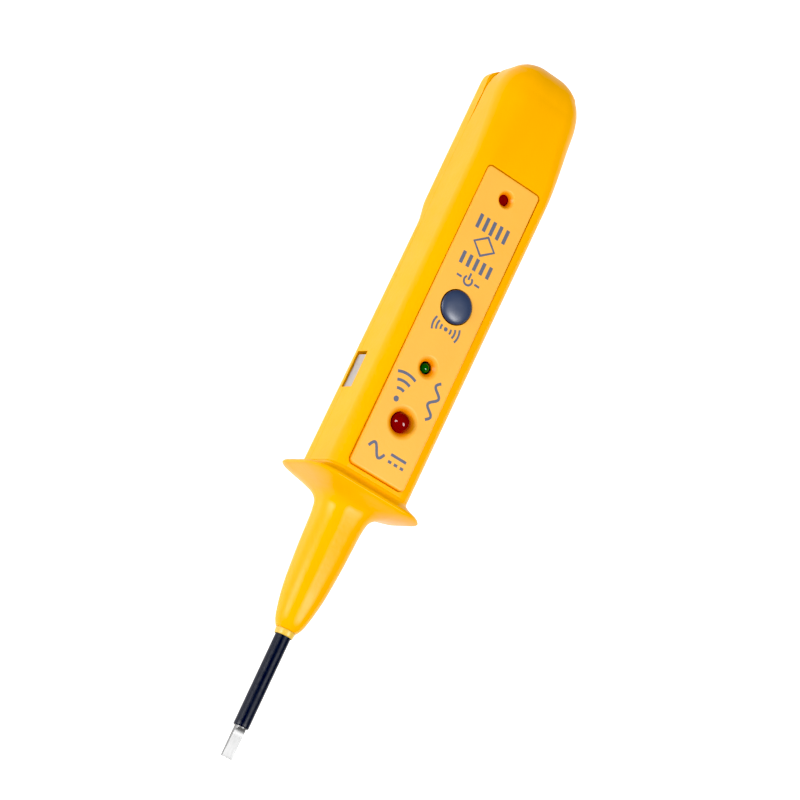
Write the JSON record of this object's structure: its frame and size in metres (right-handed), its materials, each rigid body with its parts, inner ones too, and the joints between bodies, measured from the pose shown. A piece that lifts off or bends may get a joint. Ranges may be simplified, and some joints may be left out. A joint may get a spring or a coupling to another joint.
{
  "type": "non contact voltage tester",
  "caption": "Pen-type voltage tester: insulated screwdriver blade, tapered nose with hand guard, rounded body with lamps, push button and side touch contact, smooth sensor head.",
  "frame": {"origin": "centre of the bounding box footprint, on the surface that the hand guard rests on", "axes": "+X along the axis towards the blade tip, +Y across the body, +Z out of the face plate; the touch contact faces -Y"},
  "size_m": [0.1864, 0.0336, 0.0232],
  "materials": {
    "yellow_abs": "moulded ABS, satin gloss, saturated yellow-orange",
    "plate_abs": "moulded ABS, satin, same yellow-orange as the shell",
    "collar_plastic": "paler, slightly clear yellow plastic",
    "blade_steel": "bright nickel plated steel, ground flats",
    "sleeve_insulation": "black heat-shrunk insulation, soft sheen",
    "button_rubber": "dark navy rubber, smooth",
    "black_plastic": "moulded black plastic",
    "spring_steel": "nickel plated spring steel",
    "red_lens": "red tinted clear epoxy",
    "green_lens": "green tinted clear epoxy",
    "contact_steel": "bright stainless steel",
    "board_laminate": "green solder mask on glass laminate",
    "screw_steel": "zinc plated steel",
    "resistor_coat": "tan lacquer",
    "capacitor_sleeve": "dark blue sleeve",
    "contact_brass": "bright brass",
    "sensor_copper": "bare copper",
    "battery_can": "printed steel can, silver grey"
  },
  "bodies": {
    "housing": {"front_shell": "yellow_abs", "nose_cone": "yellow_abs", "face_plate": "plate_abs", "nose_collar": "collar_plastic", "blade": "blade_steel", "blade_sleeve": "sleeve_insulation", "switch_body": "black_plastic", "switch_dome": "spring_steel", "voltage_led": "red_lens", "detector_led": "red_lens", "continuity_led": "green_lens", "touch_contact": "contact_steel", "circuit_board": "board_laminate", "board_screw_1": "screw_steel", "board_screw_2": "screw_steel", "safety_resistor": "resistor_coat", "resistor_1": "resistor_coat", "resistor_2": "resistor_coat", "resistor_3": "resistor_coat", "detector_chip": "black_plastic", "capacitor": "capacitor_sleeve", "blade_contact": "contact_brass", "sensor_plate": "sensor_copper", "battery": "battery_can", "battery_positive_plate": "spring_steel", "battery_negative_plate": "spring_steel", "battery_spring": "spring_steel"},
    "cover": {"rear_cover": "yellow_abs"},
    "button": {"power_button": "button_rubber", "switch_plunger": "black_plastic"}
  },
  "joints": [
    {"name": "button_press", "type": "slide", "parent": "housing", "child": "button", "axis": [0, 0, -1], "range_m": [0, 0.0005], "stiffness_N_per_m": 2000},
    {"name": "cover_lift", "type": "slide", "parent": "housing", "child": "cover", "axis": [0, 0, -1], "range_m": [0, 0.03]}
  ]
}
